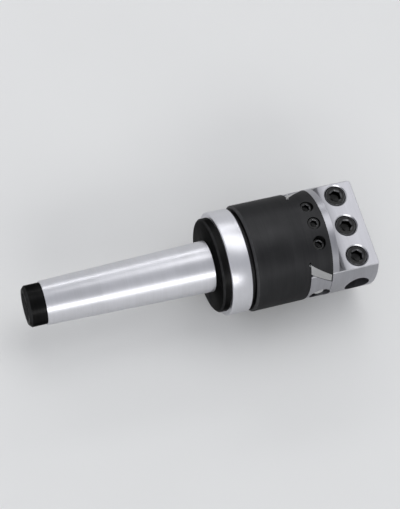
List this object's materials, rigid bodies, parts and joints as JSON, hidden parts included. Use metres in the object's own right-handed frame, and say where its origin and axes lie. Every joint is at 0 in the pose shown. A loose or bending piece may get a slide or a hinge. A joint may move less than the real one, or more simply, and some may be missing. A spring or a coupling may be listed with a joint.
{
  "type": "boring head",
  "caption": "Adjustable boring head on a taper shank: a dovetail bar slide moved by a graduated feed screw, with clamped bores for round bars.",
  "frame": {"origin": "on the spindle axis at the gauge plane of the taper shank", "axes": "+X along the spindle axis towards the working end, +Y the way the bar slide travels out, +Z out of the flat with the bar clamp screws"},
  "size_m": [0.161, 0.05, 0.05],
  "materials": {
    "ground_steel": "bright ground steel with black oxide tip and flange",
    "black_oxide": "satin black oxide on turned steel",
    "milled_steel": "satin milled and ground steel",
    "gib_steel": "ground steel",
    "dial_chrome": "satin chrome with engraved black graduations",
    "black_screw": "black oxide, oiled",
    "bronze": "machined bronze"
  },
  "bodies": {
    "head": {"head_body": "black_oxide", "taper_shank": "ground_steel", "gib_strip": "gib_steel", "feed_nut": "bronze", "nut_cap_screw": "black_screw", "thread_pad": "bronze"},
    "slide": {"bar_slide": "milled_steel"},
    "feed": {"feed_screw": "dial_chrome", "lock_nut": "black_screw", "jam_nut": "black_screw"},
    "gib_front": {"gib_screw_front": "black_screw"},
    "gib_lock": {"gib_lock_screw": "black_screw"},
    "gib_rear": {"gib_screw_rear": "black_screw"},
    "clamp_cross": {"clamp_screw_cross": "black_screw"},
    "clamp_center": {"clamp_screw_center": "black_screw"},
    "clamp_offset": {"clamp_screw_offset": "black_screw"},
    "shank_lock": {"shank_lock_screw": "black_screw"}
  },
  "joints": [
    {"name": "slide_travel", "type": "slide", "parent": "head", "child": "slide", "axis": [0, 1, 0], "range_m": [0, 0.016]},
    {"name": "dial_turn", "type": "hinge", "parent": "slide", "child": "feed", "pos_m": [0.0526, 0, -0.00205], "axis": [0, 1, 0], "range_deg": [0, 5760]},
    {"name": "gib_front_screw", "type": "slide", "parent": "head", "child": "gib_front", "axis": [0, 0, 1], "range_m": [0, 0.0025]},
    {"name": "gib_lock_screw", "type": "slide", "parent": "head", "child": "gib_lock", "axis": [0, 0, 1], "range_m": [0, 0.0025]},
    {"name": "gib_rear_screw", "type": "slide", "parent": "head", "child": "gib_rear", "axis": [0, 0, 1], "range_m": [0, 0.0025]},
    {"name": "clamp_cross_screw", "type": "slide", "parent": "slide", "child": "clamp_cross", "axis": [0, 0, 1], "range_m": [-0.0025, 0.004]},
    {"name": "clamp_center_screw", "type": "slide", "parent": "slide", "child": "clamp_center", "axis": [0, 0, 1], "range_m": [-0.0025, 0.004]},
    {"name": "clamp_offset_screw", "type": "slide", "parent": "slide", "child": "clamp_offset", "axis": [0, 0, 1], "range_m": [-0.0025, 0.004]},
    {"name": "shank_lock_turn", "type": "slide", "parent": "head", "child": "shank_lock", "axis": [0, 1, 0], "range_m": [0, 0.002]}
  ],
  "couplings": [
    {"joint": "dial_turn", "follows": "slide_travel", "rad_per_m": 6283.2}
  ]
}
